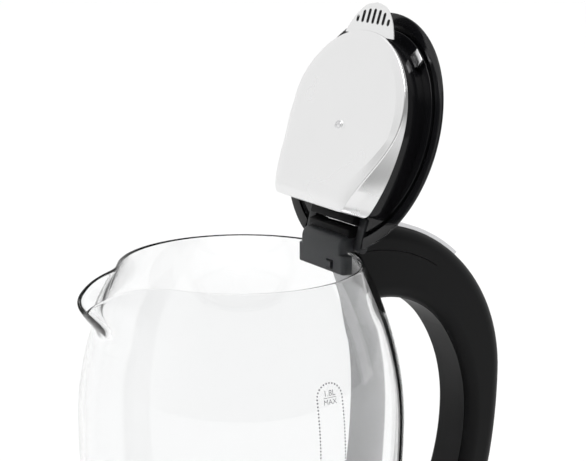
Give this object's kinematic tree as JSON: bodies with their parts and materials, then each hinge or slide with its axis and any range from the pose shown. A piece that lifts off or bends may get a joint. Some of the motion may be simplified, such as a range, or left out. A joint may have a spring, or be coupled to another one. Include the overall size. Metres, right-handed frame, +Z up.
{
  "type": "electric kettle",
  "caption": "Glass electric jug kettle on a round power base, with a hinged lid standing open, a slotted spout filter and a curved handle.",
  "frame": {"origin": "on the table, at the centre of the power base's underside, on the jug's axis", "axes": "+Z up along the jug's axis, +X towards the handle, -X towards the spout"},
  "size_m": [0.2349, 0.16, 0.3488],
  "materials": {
    "jug_glass": "clear",
    "black_plastic": "satin",
    "handle_plastic": "satin",
    "lid_plastic": "gloss",
    "hinge_plastic": "satin",
    "grey_plastic": "moulded",
    "foot_rubber": "matt",
    "silicone": "matt",
    "brushed_band": "brushed",
    "cover_steel": "satin",
    "plate_steel": "brushed",
    "bright_trim": "satin chrome",
    "screw_steel": "polished",
    "spring_wire": "polished",
    "aluminium": "cast",
    "brass": "polished"
  },
  "bodies": {
    "power_base": {"power_base_shell": "black_plastic", "power_base_plate": "black_plastic", "base_foot_ring": "foot_rubber", "power_base_screws": "screw_steel", "cord_gland": "foot_rubber"},
    "base_connector": {"base_connector": "grey_plastic", "connector_contacts": "brass"},
    "jug": {"glass_jug": "jug_glass", "steel_band": "brushed_band", "base_collar": "brushed_band", "base_housing": "black_plastic", "base_bosses": "black_plastic", "base_cover": "black_plastic", "base_cover_screws": "screw_steel", "glass_seal": "silicone", "heating_plate": "plate_steel", "heat_spreader": "aluminium", "heating_element": "aluminium", "thermostat_control": "grey_plastic", "jug_connector": "grey_plastic", "handle_shell": "handle_plastic", "handle_inner_cover": "handle_plastic", "handle_top_cover": "handle_plastic", "handle_top_trim": "bright_trim", "steam_tube": "silicone", "steam_switch": "grey_plastic", "switch_pin": "screw_steel", "handle_foot_screw": "screw_steel", "hinge_block": "hinge_plastic", "hinge_pin": "screw_steel", "hinge_screws": "screw_steel"},
    "release_button": {"lid_release_button": "bright_trim"},
    "lid_catch": {"lid_catch": "hinge_plastic"},
    "switch_lever": {"switch_lever": "handle_plastic"},
    "lid": {"lid_top_cover": "lid_plastic", "lid_body": "lid_plastic", "lid_underside_cover": "cover_steel", "spout_filter": "cover_steel", "lid_screw": "screw_steel", "lid_clips": "screw_steel", "lid_spring": "spring_wire"}
  },
  "joints": [
    {"name": "base_swivel", "type": "hinge", "parent": "power_base", "child": "base_connector", "pos_m": [0, 0, 0.017], "axis": [0, 0, 1], "continuous": true},
    {"name": "jug_lift", "type": "slide", "parent": "base_connector", "child": "jug", "axis": [0, 0, 1], "range_m": [0, 0.06]},
    {"name": "lid_hinge", "type": "hinge", "parent": "jug", "child": "lid", "pos_m": [0.0545, 0, 0.2334], "axis": [0, 1, 0], "range_deg": [-108, 0]},
    {"name": "lid_release", "type": "slide", "parent": "jug", "child": "release_button", "axis": [0, 0, -1], "range_m": [0, 0.0025], "stiffness_N_per_m": 300},
    {"name": "catch_slide", "type": "slide", "parent": "jug", "child": "lid_catch", "axis": [1, 0, 0], "range_m": [0, 0.00125]},
    {"name": "power_switch", "type": "hinge", "parent": "jug", "child": "switch_lever", "pos_m": [0.09, 0, 0.053], "axis": [0, 1, 0], "range_deg": [0, 12]}
  ],
  "couplings": [
    {"joint": "catch_slide", "follows": "lid_release", "ratio": 0.5}
  ]
}
